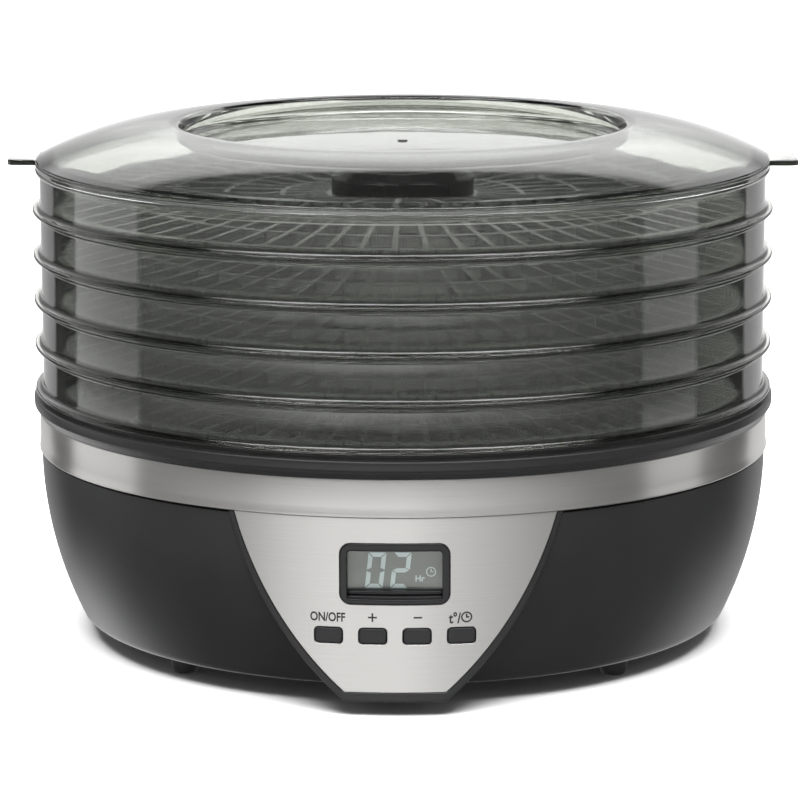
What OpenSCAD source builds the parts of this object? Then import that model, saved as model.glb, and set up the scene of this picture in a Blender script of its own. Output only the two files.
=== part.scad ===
// Round food dehydrator: a fan and heater base, five stacking trays and a lid.
// Units are millimetres. Z is up, the surface it stands on is Z = 0 and the panel faces -Y.

/* [Trays] */
// Radius of the rounded bead around the bottom of each tray
bead_r = 160.2; // [159.8:0.1:160.4]
// Outer radius of the tray wall
wall_r = 156.9; // [156.4:0.1:157]
// Thickness of the tray wall
wall_t = 1.8; // [1.2:0.1:2.2]
// Height from one tray to the next
tray_pitch = 19.4; // [18:0.2:22]
// Width of a bar of the tray floor
bar_w = 2.2; // [1.6:0.1:2.6]
// Depth of the bars of the tray floor
bar_h = 4; // [3:0.1:4.5]
// Outer radius of the tube in the middle of a tray
hub_r = 31; // [28:0.5:32]
// Height of that tube above the underside of the floor
hub_h = 15; // [10:0.5:15.5]

/* [Lid] */
// Radius of the lid's crest
crest_r = 99.3; // [96:0.5:104]
// Height of the crest above the lid's seat
crest_rise = 16.6; // [14:0.2:20]
// Depth of the dish inside the crest
dish_depth = 8.4; // [6:0.2:9]
// Radius of the flat floor of the dish
dish_r = 92; // [86:0.5:93]
// Distance from the middle to the end of a lid tab
tab_reach = 170.3; // [166:0.1:174]
// Width of a lid tab
tab_w = 31; // [24:0.5:40]

/* [Base] */
// Radius of the black rim under the trays
rim_r = 161; // [160.6:0.1:162]
// Height of the lowest tray's seat
seat_z = 107.8; // [107:0.2:109]
// Radius of the steel band
band_r = 158.6; // [158.2:0.1:159]
// Height of the band's lower edge
band_z0 = 82; // [81.8:0.2:83]
// Height of the band's upper edge
band_z1 = 97.6; // [96.6:0.2:98.6]
// Radius of the bowl at its foot
bowl_foot_r = 141; // [139:0.5:143]
// Wall thickness of the bowl
bowl_t = 2.6; // [2:0.1:3]
// Clearance between the bowl and the surface
foot_h = 8.5; // [8:0.1:10]
// Distance of each foot from the middle, along X and along Y
foot_at = 90; // [84:1:94]

/* [Panel] */
// Half the width of the steel panel at its top
panel_top = 65; // [60:0.5:66]
// Half the width of the steel panel at its bottom
panel_bottom = 20.5; // [18:0.5:24]
// Height of the steel panel's lower edge
panel_z0 = 10; // [9:0.5:12]
// Radius of the panel's curved sides
panel_side_r = 150; // [120:5:220]
// Width of the black edge around the panel
panel_edge = 2.4; // [2:0.1:3]
// Width of a push button
button_w = 11.2; // [9:0.1:11.4]
// Height of a push button
button_h = 6.8; // [5:0.1:7]
// Distance from one button to the next
button_pitch = 17.8; // [15:0.1:18]
// Height of the row of buttons
button_z = 33.6; // [32:0.2:34]
// Travel of a button
button_travel = 0.8; // [0.4:0.1:0.8]
// Height of the middle of the display
display_z = 59; // [58:0.2:60]

/* [Hidden] */
$fn = 96;
eps = 0.01;

// Stack
tray_count = 5;
wall_in = wall_r - wall_t;
skirt_r = wall_r + 0.4;
skirt_drop = 1.7;
lid_seat = seat_z + tray_count * tray_pitch;
function tray_z(k) = seat_z + (k - 1) * tray_pitch;

// Skirt of the top cover, which drops inside the bowl
cover_in = 152.8;
cover_out = 155.3;
cover_z0 = 77;

// Bowl: the outside is one arc with an upright tangent at its top
bowl_top = 81.4;
bowl_top_r = band_r - 0.5;
bowl_drop = bowl_top - foot_h;
bowl_in = bowl_top_r - bowl_foot_r;
bowl_arc_r = (bowl_drop * bowl_drop + bowl_in * bowl_in) / (2 * bowl_in);
floor_t = 2.6;
floor_z = foot_h + floor_t;
inlet_r = 72;
gland_z = 25;
boss_at = 106;
boss_split = 62;

// Panel
sheet_t = 0.8;
panel_r = band_r;
housing_r = band_r + 0.4;
housing_z0 = 6.2;
housing_wall = 2.4;
display_w = 44.4;
display_h = 25.2;
display_corner = 4.6;
window_w = 38;
window_h = 20.6;
glass_y = -152.5;
glass_t = 2.2;
board_y = -146;
switch_y = board_y - 4.5;
board_t = 1.6;
board_posts = [[-29, 43.6], [29, 43.6], [-29, 70], [29, 70]];
button_x = [for (i = [0 : 3]) (i - 1.5) * button_pitch];
button_gap = 0.3;

// Air path
duct_r = 50;
duct_t = 2.2;
duct_z0 = 32;
duct_flange_r = 60;
duct_screw_at = 56;
deck_z = 98.4;
deck_t = 2.6;
shaft_r = 2;
motor_holes = [[-18, -14], [18, -14]];
fan_r = 45;
fan_z0 = 46;
fan_z1 = 60;
coil_radii = [24, 32, 40];
heater_z = 70;
heater_h = 14;

// Points of an arc of radius r about c, from angle a0 to a1
function arc(c, r, a0, a1, n) =
    [for (i = [0 : n]) let (a = a0 + (a1 - a0) * i / n) c + r * [cos(a), sin(a)]];

// Radius of the bowl's outside at height z
function bowl_r(z) =
    bowl_top_r - bowl_arc_r + sqrt(bowl_arc_r * bowl_arc_r - pow(bowl_top - z, 2));

// One side of a shield outline from its top corner to its bottom corner, bowed outward
function shield_side(top_w, top_z, low_w, low_z, n) =
    let (
        a = [top_w, top_z],
        b = [low_w, low_z],
        mid = (a + b) / 2,
        half = norm(a - b) / 2,
        inward = [b[1] - a[1], a[0] - b[0]] / (2 * half),
        c = mid + inward * sqrt(panel_side_r * panel_side_r - half * half),
        a0 = atan2(a[1] - c[1], a[0] - c[0]),
        a1 = atan2(b[1] - c[1], b[0] - c[0])
    )
    arc(c, panel_side_r, a0, a1, n);

module ring(r_out, r_in, z0, z1) {
    translate([0, 0, z0]) difference() {
        cylinder(r = r_out, h = z1 - z0);
        translate([0, 0, -1]) cylinder(r = r_in, h = z1 - z0 + 2);
    }
}

module disc(r, z0, z1) {
    translate([0, 0, z0]) cylinder(r = r, h = z1 - z0);
}

// Upright block centred on x and y
module block(x, y, z0, w, d, h) {
    translate([x - w / 2, y - d / 2, z0]) cube([w, d, h]);
}

// Rod along Y, from y0 to y1
module rod_y(x, z, r, y0, y1) {
    translate([x, y0, z]) rotate([-90, 0, 0]) cylinder(r = r, h = y1 - y0);
}

// Outline in XZ, extruded along Y from y0 to y1
module slab_y(y0, y1) {
    translate([0, y1, 0]) rotate([90, 0, 0]) linear_extrude(y1 - y0) children();
}

module rounded(w, h, r) {
    square([w - 2 * r, h], center = true);
    square([w, h - 2 * r], center = true);
    for (x = [-1, 1]) for (y = [-1, 1]) {
        translate([x * (w / 2 - r), y * (h / 2 - r)]) circle(r);
    }
}

module shield(grow, z_low, z_top) {
    side = shield_side(panel_top + grow, z_top, panel_bottom, z_low, 8);
    polygon(concat(side, [for (i = [8 : -1 : 0]) [-side[i][0], side[i][1]]]));
}

module at_corners(d) {
    for (a = [45 : 90 : 315]) rotate(a) translate([d, 0, 0]) children();
}

module at_sides(d) {
    for (a = [0 : 90 : 270]) rotate(a) translate([d, 0, 0]) children();
}

// ---- Trays ----

module tray_wall(k) {
    color([0.36, 0.37, 0.34, 0.5]) translate([0, 0, tray_z(k)]) rotate_extrude() polygon(concat(
        [
            [wall_in, 0],
            [skirt_r, 0],
            [skirt_r, -skirt_drop],
            [bead_r - 0.9, -skirt_drop]
        ],
        arc([bead_r - 0.9, -skirt_drop + 0.9], 0.9, -90, 0, 4),
        arc([bead_r - 0.6, 0.1], 0.6, 0, 90, 3),
        arc([wall_r + 2.6, 3.3], 2.6, 270, 180, 5),
        [
            [wall_r, tray_pitch],
            [wall_in, tray_pitch]
        ]
    ));
}

module radial_bars(count, r0, r1) {
    for (i = [0 : count - 1]) {
        rotate(i * 360 / count) translate([r0, -bar_w / 2]) square([r1 - r0, bar_w]);
    }
}

module bar_ring(r) {
    difference() {
        circle(r + bar_w / 2);
        circle(r - bar_w / 2);
    }
}

module tray_grid(k) {
    color([0.3, 0.31, 0.29]) translate([0, 0, tray_z(k)]) linear_extrude(bar_h) {
        difference() {
            circle(wall_in);
            circle(wall_in - 3.4);
        }
        for (r = [52 : 25 : 127]) bar_ring(r);
        difference() {
            circle(hub_r + 2);
            circle(hub_r);
        }
        radial_bars(72, 102, wall_in - 2);
        radial_bars(36, hub_r + 1, 102);
    }
}

module tray_hub(k) {
    color([0.16, 0.17, 0.16]) translate([0, 0, tray_z(k)]) {
        ring(hub_r, hub_r - 2.4, 0, hub_h);
        for (a = [45 : 90 : 315]) rotate(a) {
            translate([hub_r - 0.6, -1, bar_h]) cube([2.6, 2, hub_h - bar_h - 2]);
        }
    }
}

// ---- Lid ----

// Height of the dome's outside above the seat at radius r
function dome_z(r) =
    crest_rise - (crest_rise - 2.3) * pow((r - crest_r) / (wall_r + 1 - crest_r), 2);

module lid() {
    dome = [for (i = [1 : 10]) let (r = crest_r + (wall_r + 1 - crest_r) * i / 10) [r, dome_z(r)]];
    inside = [for (i = [10 : -1 : 1]) [dome[i - 1][0] - 2.4, dome[i - 1][1] - 2]];
    rim = skirt_r + 1.5;
    floor_top = crest_rise - dish_depth;
    tab_blank = 22;
    color([0.62, 0.64, 0.62, 0.45]) translate([0, 0, lid_seat]) {
        rotate_extrude() polygon(concat(
            [[0, floor_top], [dish_r, floor_top]],
            arc([dish_r, floor_top + 3.6], 3.6, -80, -10, 3),
            [[crest_r - 2.2, crest_rise - 0.5], [crest_r - 0.9, crest_rise]],
            dome,
            [[rim, 1.4], [rim, -3.2], [skirt_r, -3.2], [skirt_r, 0], [wall_r - 2.4, 0]],
            inside,
            [[crest_r + 0.4, crest_rise - 2], [crest_r - 0.6, floor_top + 0.4]],
            [[crest_r - 2.4, floor_top - 2], [0, floor_top - 2]]
        ));
        intersection() {
            for (s = [-1, 1]) translate([s * (tab_reach - tab_blank / 2), 0, 0.2])
                linear_extrude(2.2) rounded(tab_blank, tab_w, 4);
            ring(tab_reach + 5, wall_r + 1, -2, 6);
        }
        disc(2.2, floor_top - eps, floor_top + 0.6);
    }
}

// ---- Base shells ----

module top_cover() {
    color([0.11, 0.11, 0.11]) difference() {
        union() {
            rotate_extrude() polygon([
                [duct_r + duct_t, deck_z],
                [cover_in, deck_z],
                [cover_in, cover_z0],
                [cover_out, cover_z0],
                [cover_out, band_z0 + 1],
                [band_r - sheet_t, band_z0 + 1],
                [band_r - sheet_t, band_z1],
                [band_r, band_z1],
                [band_r + 0.7, band_z1 + 1.6],
                [rim_r - 0.5, band_z1 + 3.2],
                [rim_r, band_z1 + 4.4],
                [rim_r, seat_z - 3.2],
                [rim_r - 0.7, seat_z - 2.5],
                [wall_r, seat_z - 2.5],
                [wall_r, seat_z],
                [wall_r - 2.3, seat_z],
                [wall_r - 2.3, deck_z + deck_t],
                [duct_r + duct_t, deck_z + deck_t]
            ]);
            at_sides(boss_at) disc(5, boss_split, deck_z + eps);
        }
        at_sides(boss_at) disc(1.6, boss_split - 1, deck_z - 4);
        at_sides(duct_screw_at) disc(1.3, deck_z - 1, deck_z + 1.8);
    }
}

module outlet_grille() {
    r_out = duct_r + duct_t;
    color([0.13, 0.13, 0.13]) {
        for (r = [14 : 9 : 41]) ring(r + 0.9, r - 0.9, deck_z, deck_z + deck_t);
        ring(r_out, r_out - 3, deck_z, deck_z + deck_t);
        difference() {
            for (a = [0 : 30 : 150]) rotate(a) block(0, 0, deck_z, 2 * r_out - 3, 2, deck_t);
            disc(5, deck_z - 1, deck_z + deck_t + 1);
        }
        ring(6, 2.5, deck_z, deck_z + deck_t);
    }
}

module steel_band() {
    color([0.78, 0.77, 0.75]) rotate_extrude() polygon([
        [band_r - sheet_t, band_z0],
        [band_r + 0.4, band_z0],
        [band_r + 0.5, band_z0 + 0.8],
        [band_r, band_z0 + 4],
        [band_r, band_z1],
        [band_r - sheet_t, band_z1]
    ]);
}

module panel_cutouts() {
    slab_y(-170, -130) {
        translate([0, display_z]) rounded(display_w, display_h, display_corner);
        for (x = button_x) {
            translate([x, button_z]) rounded(button_w + 2 * button_gap, button_h + 2 * button_gap, 1.7);
        }
    }
}

module steel_panel() {
    color([0.8, 0.79, 0.77]) difference() {
        intersection() {
            slab_y(-165, -130) shield(0, panel_z0, band_z0);
            ring(panel_r, panel_r - sheet_t, 0, 100);
        }
        panel_cutouts();
    }
}

module panel_housing() {
    color([0.09, 0.09, 0.09]) difference() {
        union() {
            difference() {
                intersection() {
                    slab_y(-165, -128) shield(panel_edge, housing_z0, band_z0);
                    ring(housing_r, 131, 0, 100);
                }
                intersection() {
                    slab_y(-165, -120) shield(panel_edge - housing_wall, panel_z0 + 1, band_z0 + 1);
                    disc(cover_out + 0.1, 0, 100);
                }
                ring(cover_out + 0.2, 150, cover_z0 - 0.4, band_z0 + 1);
            }
            intersection() {
                for (p = board_posts) rod_y(p[0], p[1], 3.2, -157, board_y);
                disc(156, 0, 100);
            }
        }
        intersection() {
            slab_y(-165, -120) shield(0, panel_z0, band_z0);
            ring(housing_r + 1, panel_r - sheet_t, 0, 100);
        }
        for (p = board_posts) rod_y(p[0], p[1], 1.5, -152, board_y + 1);
        panel_cutouts();
    }
}

module bowl_housing() {
    outer = [for (i = [0 : 12]) let (z = foot_h + bowl_drop * i / 12) [bowl_r(z), z]];
    inner = [for (i = [12 : -1 : 0])
        let (z = floor_z + (bowl_top - floor_z) * i / 12) [bowl_r(z) - bowl_t, z]];
    color([0.12, 0.12, 0.12]) difference() {
        union() {
            rotate_extrude() polygon(concat([[inlet_r, foot_h]], outer, inner, [[inlet_r, floor_z]]));
            at_sides(boss_at) disc(6, foot_h, boss_split);
            intersection() {
                rod_y(0, gland_z, 12, 138, 151.2);
                disc(160, foot_h, 60);
            }
        }
        slab_y(-165, -128) shield(panel_edge, housing_z0, band_z0);
        at_sides(boss_at) {
            disc(2.1, 0, boss_split + 1);
            disc(4, 0, boss_split - 8);
        }
        at_corners(foot_at * sqrt(2)) disc(3.1, 0, floor_z + 1);
        at_corners(inlet_r + 5) disc(1.3, 0, floor_z + 1);
        rod_y(0, gland_z, 7.1, 130, 155);
    }
}

module inlet_grille() {
    z0 = foot_h - 2.4;
    color([0.1, 0.1, 0.1]) difference() {
        union() {
            disc(inlet_r + 9, z0, foot_h);
            disc(inlet_r - 0.2, z0, floor_z);
        }
        for (a = [0 : 15 : 345]) rotate(a) {
            block(34, 0, z0 - 1, 20, 4, 10);
            block(58, 0, z0 - 1, 20, 5, 10);
        }
        at_corners(inlet_r + 5) disc(1.7, z0 - 1, foot_h + 1);
    }
}

module rubber_feet() {
    color([0.06, 0.06, 0.06]) at_corners(foot_at * sqrt(2)) {
        cylinder(r1 = 5, r2 = 5.8, h = 2);
        disc(5.8, 2, 4);
        translate([0, 0, 4]) cylinder(r1 = 5.8, r2 = 6.6, h = foot_h - 4);
        disc(3, foot_h - eps, floor_z);
        translate([0, 0, floor_z]) cylinder(r1 = 4.2, r2 = 3, h = 1.8);
    }
}

// ---- Panel parts ----

module display_bezel() {
    color([0.08, 0.08, 0.08]) difference() {
        intersection() {
            slab_y(-165, glass_y) translate([0, display_z]) rounded(display_w, display_h, display_corner);
            disc(housing_r, 0, 100);
        }
        slab_y(-165, -140) translate([0, display_z]) rounded(window_w, window_h, 1.4);
    }
}

module display_glass() {
    back = glass_y + glass_t;
    color([0.45, 0.5, 0.47]) slab_y(glass_y, back) translate([0, display_z]) square([42, 23.4], true);
}

module display_module() {
    front = glass_y + glass_t;
    color([0.85, 0.86, 0.84]) block(0, (front + board_y) / 2, display_z - 12, 43, board_y - front, 24);
}

module button(i) {
    x = button_x[i];
    stem_end = switch_y - button_travel - 0.1;
    color([0.1, 0.1, 0.1]) {
        intersection() {
            slab_y(-165, -152.6) translate([x, button_z]) rounded(button_w, button_h, 1.5);
            cylinder(r = panel_r + 0.2, h = 100, $fn = 480);
        }
        rod_y(x, button_z, 1.8, -153, stem_end);
    }
}

module button_power() { button(0); }
module button_plus() { button(1); }
module button_minus() { button(2); }
module button_mode() { button(3); }

module button_switches() {
    color([0.2, 0.2, 0.2]) for (x = button_x) {
        slab_y(board_y - 3.5, board_y) translate([x, button_z]) square(6, true);
        rod_y(x, button_z, 1.7, switch_y, board_y - 3.5);
    }
}

module control_board() {
    color([0.1, 0.35, 0.16]) difference() {
        slab_y(board_y, board_y + board_t) translate([-33, 27]) square([66, 47]);
        for (p = board_posts) rod_y(p[0], p[1], 1.6, board_y - 1, board_y + board_t + 1);
    }
    color([0.1, 0.1, 0.1]) block(0, board_y + board_t + 1.5, 50, 14, 3, 10);
}

// ---- Electrics ----

power_at = [44, 92];
power_lift = 8;
power_posts = [for (x = [-24, 24]) for (y = [-16, 16]) power_at + [x, y]];

module power_board() {
    z0 = floor_z + power_lift;
    color([0.1, 0.35, 0.16]) difference() {
        block(power_at[0], power_at[1], z0, 56, 40, board_t);
        for (p = power_posts) translate(p) disc(1.6, z0 - 1, z0 + board_t + 1);
    }
    color([0.2, 0.2, 0.2]) for (p = power_posts) translate(p) ring(3, 1.3, floor_z, z0);
}

module board_parts() {
    z0 = floor_z + power_lift + board_t;
    translate(power_at) {
        color([0.85, 0.75, 0.2]) block(-10, 4, z0, 22, 18, 16);
        color([0.1, 0.25, 0.6]) block(13, 6, z0, 15, 12, 15);
        color([0.15, 0.15, 0.4]) translate([14, -9]) disc(5, z0, z0 + 13);
        color([0.6, 0.3, 0.1]) block(-8, -12, z0, 14, 5, 9);
    }
}

module terminal_block() {
    color([0.92, 0.92, 0.88]) difference() {
        block(-20, 118, floor_z, 26, 14, 12);
        for (x = [-28, -20, -12]) translate([x, 118]) disc(1.9, floor_z + 4, floor_z + 13);
    }
}

// Wire through a list of points, with round joints
module wire(points, r) {
    for (i = [0 : len(points) - 2]) hull() {
        translate(points[i]) sphere(r, $fn = 10);
        translate(points[i + 1]) sphere(r, $fn = 10);
    }
}

module wiring() {
    color([0.7, 0.1, 0.1]) wire([[-14, 109.6, 17], [-12, 94, 20], [6, 90, 24], [19, 94, 22.4]], 1.2);
    color([0.1, 0.1, 0.1]) wire([[68, 74, 24.8], [74, 50, 16], [84, 0, 16], [60, -90, 16], [24, -128, 32],
        [12, -142.4, 56]], 1.4);
    color([0.7, 0.7, 0.7]) wire([[25.5, 80, 22.4], [33, 64, 48], [34, 50.8, 68.8]], 1.2);
}

// ---- Motor, fan and heater ----

module motor_stator() {
    color([0.45, 0.45, 0.47]) difference() {
        block(0, 8, 18, 46, 56, 13);
        disc(12, 17, 32);
        block(-15, 19, 17, 7, 20, 20);
        block(15, 19, 17, 7, 20, 20);
        for (p = motor_holes) translate(p) disc(1.7, 17, 32);
    }
}

module motor_coil() {
    color([0.72, 0.35, 0.14]) difference() {
        block(0, 19, 14.5, 28, 18, 20);
        block(0, 19, 18, 23, 30, 13);
    }
}

module bracket(z0) {
    difference() {
        union() {
            block(0, -5, z0, 46, 26, 2);
            disc(9, z0, z0 + 2);
        }
        disc(4.2, z0 - 1, z0 + 3);
        for (p = motor_holes) translate(p) disc(1.7, z0 - 1, z0 + 3);
    }
}

module motor_brackets() {
    color([0.7, 0.7, 0.72]) {
        bracket(14);
        bracket(35);
        for (p = motor_holes) translate(p) {
            ring(3.2, 1.7, 16, 18);
            ring(3.2, 1.7, 31, 35);
        }
    }
}

module motor_bearings() {
    color([0.75, 0.6, 0.3]) for (z = [13, 34]) ring(4.2, shaft_r + 0.03, z, z + 4);
}

module motor_rotor() {
    color([0.5, 0.5, 0.5]) ring(11.6, shaft_r, 18.5, 30.5);
}

module motor_shaft() {
    color([0.8, 0.8, 0.82]) disc(shaft_r, 12.4, fan_z1 - 3);
}

module fan_impeller() {
    color([0.75, 0.75, 0.72]) {
        difference() {
            disc(9, fan_z0, fan_z1 - 1);
            disc(shaft_r, fan_z0 - 1, fan_z1 - 3);
        }
        intersection() {
            for (a = [0 : 360 / 7 : 359]) rotate(a) {
                translate([26, 0, (fan_z0 + fan_z1) / 2]) rotate([32, 0, 0]) cube([38, 24, 1.6], true);
            }
            ring(fan_r, 8.5, fan_z0, fan_z1 - 1);
        }
    }
}

module fan_duct() {
    r_out = duct_r + duct_t;
    color([0.6, 0.6, 0.58]) difference() {
        union() {
            ring(r_out, duct_r, duct_z0, deck_z);
            ring(duct_flange_r, duct_r, deck_z - 3, deck_z);
            difference() {
                for (a = [45, 135]) rotate(a) block(0, 0, 37, 2 * duct_r + 2, 9, 3);
                disc(5.4, 36, 41);
            }
            ring(28, 5.4, 37, 40);
        }
        for (p = motor_holes) translate(p) disc(1.5, 36, 41);
        at_sides(duct_screw_at) disc(1.6, deck_z - 4, deck_z + 1);
    }
}

module heater_frame() {
    color([0.85, 0.82, 0.72]) for (a = [0, 90]) rotate(a) {
        translate([0, 0, heater_z]) rotate([90, 0, 0]) linear_extrude(1, center = true) difference() {
            translate([-46.9, 0]) square([93.8, heater_h]);
            for (s = [-1, 1]) for (r = coil_radii) translate([s * r, heater_h]) circle(2.4);
        }
    }
}

module heater_coil() {
    color([0.65, 0.6, 0.58]) for (r = coil_radii) {
        translate([0, 0, heater_z + heater_h]) rotate_extrude() translate([r, 0]) circle(2.2);
    }
}

module heat_shield() {
    color([0.8, 0.8, 0.8]) {
        ring(47.8, 47, heater_z - 4, heater_z + 22);
        for (a = [0 : 90 : 270]) rotate(a + 20) block(48.75, 0, heater_z - 3, 2.1, 6, 4);
    }
}

module thermostat() {
    color([0.85, 0.85, 0.8]) rotate(60) {
        translate([duct_r + duct_t, 0, 74]) rotate([0, 90, 0]) {
            cylinder(r = 8, h = 6);
            cylinder(r = 5, h = 9);
        }
        for (y = [-4, 4]) block(duct_r + duct_t + 9, y, 70.5, 5, 0.8, 7);
    }
}

module thermal_fuse() {
    color([0.8, 0.8, 0.82]) {
        rod_y(2.5, heater_z + 5, 2, 14, 26);
        rod_y(2.5, heater_z + 5, 0.5, 8, 34);
    }
}

module cord_gland() {
    color([0.07, 0.07, 0.07]) difference() {
        union() {
            rod_y(0, gland_z, 7, 138, 151.2);
            rod_y(0, gland_z, 9.6, 151.2, 153.4);
            translate([0, 153.4, gland_z]) rotate([-90, 0, 0]) cylinder(r1 = 7, r2 = 5.4, h = 6.6);
        }
        rod_y(0, gland_z, 3.6, 137, 161);
    }
}

// ---- Fasteners ----

module screw(r_head, h_head, r, length) {
    difference() {
        disc(r_head, 0, h_head);
        block(0, 0, -1, r_head * 1.4, 0.8, 1.9);
        block(0, 0, -1, 0.8, r_head * 1.4, 1.9);
    }
    disc(r, h_head - eps, length);
}

module shell_screws() {
    color([0.7, 0.7, 0.72]) at_sides(boss_at) translate([0, 0, boss_split - 11]) screw(3.6, 3, 1.55, 30);
}

module grille_screws() {
    color([0.7, 0.7, 0.72]) at_corners(inlet_r + 5) translate([0, 0, foot_h - 4.2]) screw(3, 1.8, 1.25, 8);
}

module duct_screws() {
    color([0.7, 0.7, 0.72]) at_sides(duct_screw_at) translate([0, 0, deck_z - 4.8]) screw(3, 1.8, 1.25, 6);
}

module board_screws() {
    color([0.7, 0.7, 0.72]) {
        for (p = power_posts) translate([p[0], p[1], floor_z + power_lift + board_t]) {
            disc(2.6, 0, 1.8);
            disc(1.25, -7, 0.1);
        }
        for (p = board_posts) {
            rod_y(p[0], p[1], 2.6, board_y + board_t, board_y + board_t + 1.8);
            rod_y(p[0], p[1], 1.45, board_y - 4, board_y + board_t + 0.1);
        }
    }
}

module motor_screws() {
    color([0.7, 0.7, 0.72]) for (p = motor_holes) translate(p) {
        disc(3, 12.2, 14);
        disc(1.45, 13.9, 40);
    }
}

lid();
tray_wall(5);  // tray_5_wall
tray_grid(5);  // tray_5_grid
tray_hub(5);  // tray_5_hub
tray_wall(4);  // tray_4_wall
tray_grid(4);  // tray_4_grid
tray_hub(4);  // tray_4_hub
tray_wall(3);  // tray_3_wall
tray_grid(3);  // tray_3_grid
tray_hub(3);  // tray_3_hub
tray_wall(2);  // tray_2_wall
tray_grid(2);  // tray_2_grid
tray_hub(2);  // tray_2_hub
tray_wall(1);  // tray_1_wall
tray_grid(1);  // tray_1_grid
tray_hub(1);  // tray_1_hub
top_cover();
outlet_grille();
steel_band();
steel_panel();
panel_housing();
bowl_housing();
inlet_grille();
rubber_feet();
display_bezel();
display_glass();
display_module();
button_power();
button_plus();
button_minus();
button_mode();
button_switches();
control_board();
power_board();
board_parts();
terminal_block();
motor_stator();
motor_coil();
motor_brackets();
motor_bearings();
motor_rotor();
motor_shaft();
fan_impeller();
fan_duct();
heater_frame();
heater_coil();
heat_shield();
thermostat();
thermal_fuse();
cord_gland();
wiring();
shell_screws();
grille_screws();
duct_screws();
board_screws();
motor_screws();
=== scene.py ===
import math

import bmesh
import bpy
from mathutils import Matrix, Vector
from mathutils.geometry import tessellate_polygon


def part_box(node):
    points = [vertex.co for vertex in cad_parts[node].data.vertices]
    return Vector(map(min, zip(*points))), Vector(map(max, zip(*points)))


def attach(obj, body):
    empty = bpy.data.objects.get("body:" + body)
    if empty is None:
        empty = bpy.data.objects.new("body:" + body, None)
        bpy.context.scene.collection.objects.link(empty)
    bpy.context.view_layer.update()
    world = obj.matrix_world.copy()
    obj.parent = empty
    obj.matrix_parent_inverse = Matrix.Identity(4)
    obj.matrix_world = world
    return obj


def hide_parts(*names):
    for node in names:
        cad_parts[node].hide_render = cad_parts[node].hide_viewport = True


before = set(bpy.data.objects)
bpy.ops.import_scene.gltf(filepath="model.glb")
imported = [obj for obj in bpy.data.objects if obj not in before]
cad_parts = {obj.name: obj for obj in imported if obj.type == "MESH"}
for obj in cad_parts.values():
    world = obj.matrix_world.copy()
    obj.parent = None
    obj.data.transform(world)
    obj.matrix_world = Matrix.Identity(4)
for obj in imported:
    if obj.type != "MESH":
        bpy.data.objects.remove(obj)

MM = 0.001
LOW, HIGH = 0, 1
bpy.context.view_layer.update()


def edge(node, end, axis):
    """One side of a CAD node's box, in millimetres."""
    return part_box(node)[end]["xyz".index(axis)] / MM


# ---- Sizes taken from the frame ----

TRAYS = 5
SKIRT_DROP = 1.7
SEAT_Z = edge("tray_1_wall", LOW, "z") + SKIRT_DROP
PITCH = edge("tray_2_wall", LOW, "z") - edge("tray_1_wall", LOW, "z")
LID_SEAT = SEAT_Z + TRAYS * PITCH
BEAD_R = edge("tray_1_wall", HIGH, "x")
RIM_R = edge("top_cover", HIGH, "x")
BAND_Z0 = edge("steel_band", LOW, "z")
BAND_Z1 = edge("steel_band", HIGH, "z")
HOUSING_R = -edge("panel_housing", LOW, "y")
HOUSING_Z0 = edge("panel_housing", LOW, "z")
PANEL_TOP = edge("steel_panel", HIGH, "x")
PANEL_Z0 = edge("steel_panel", LOW, "z")
FOOT_H = edge("bowl_housing", LOW, "z")
BOWL_TOP = edge("bowl_housing", HIGH, "z")
TAB_REACH = edge("lid", HIGH, "x")
HUB_R = edge("tray_1_hub", HIGH, "x")
HUB_H = edge("tray_1_hub", HIGH, "z") - SEAT_Z
GRILLE_R = edge("outlet_grille", HIGH, "x")
DECK_Z = edge("outlet_grille", LOW, "z")
POST_TOP = edge("top_cover", LOW, "z")
GLASS_Y = edge("display_glass", LOW, "y")

# ---- Sizes that a box does not show: R radius, T thickness, H height, Z height over the floor ----

SHEET_T = 0.8
TURN_STEPS = 256

# Trays: the rings of the floor are given as (radius, number of crossings).
WALL_R = 156.9
WALL_T = 1.8
SKIRT_R = WALL_R + 0.4
BEAD_DROP = 0.5
RIB_DROP = 2.4
FLOOR_RINGS = ((52, 36), (77, 36), (102, 72), (127, 72))
PEG_TOP = 3.8
PEG_H = 5

# Lid: heights are over its seat on the top tray.
CREST_R = 99.3
CREST_RISE = 16.6
EAVES_R = WALL_R + 1
EAVES_RISE = 2.3
DISH_R = 92
DISH_DEPTH = 8.4
LID_RIM_R = 158.8
LID_PLUG_R = WALL_R - 2.4
TAB_L, TAB_W, TAB_T = 27, 31, 2.2
TAB_RISE = 1.6

# Base.
BAND_R = 158.6
BOWL_TOP_R = 158.1
BOWL_FOOT_R = 141
BOWL_T = 2.6
INLET_R = 72
SCREW_CIRCLE_R = 106
GLAND_Z, GLAND_HOLE_R = 25, 7.1

# Panel: widths and heights are those of the flat shape, before it is bent.
PANEL_BOTTOM = 20.5
PANEL_SIDE_R = 150
PANEL_EDGE = 2.4
HOUSING_DEPTH = 27
DISPLAY_Z = 59
BEZEL_SIZE = (44.3, 25.1)
BEZEL_DEPTH = 6.4
WINDOW_SIZE = (38, 19.6)
PANE_SIZE = (42, 23.4)
PANE_T = 2.2
BUTTON_Z = 33.4
BUTTON_X = {"power": -26.7, "plus": -8.9, "minus": 8.9, "mode": 26.7}
BUTTON_SIZE = (11, 6.3)
CAP_DEPTH = 3
STEM_R, STEM_Y = 1.8, -156
LABEL_Z = 41.2
LABEL_T = 0.05
SEGMENT_T = 0.06


# ---- Mesh helpers ----

def arc(cx, cy, r, start, end, steps):
    """Points of an arc, from the start angle to the end angle in degrees."""
    turns = [math.radians(start + (end - start) * i / steps) for i in range(steps + 1)]
    return [(cx + r * math.cos(a), cy + r * math.sin(a)) for a in turns]


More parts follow.
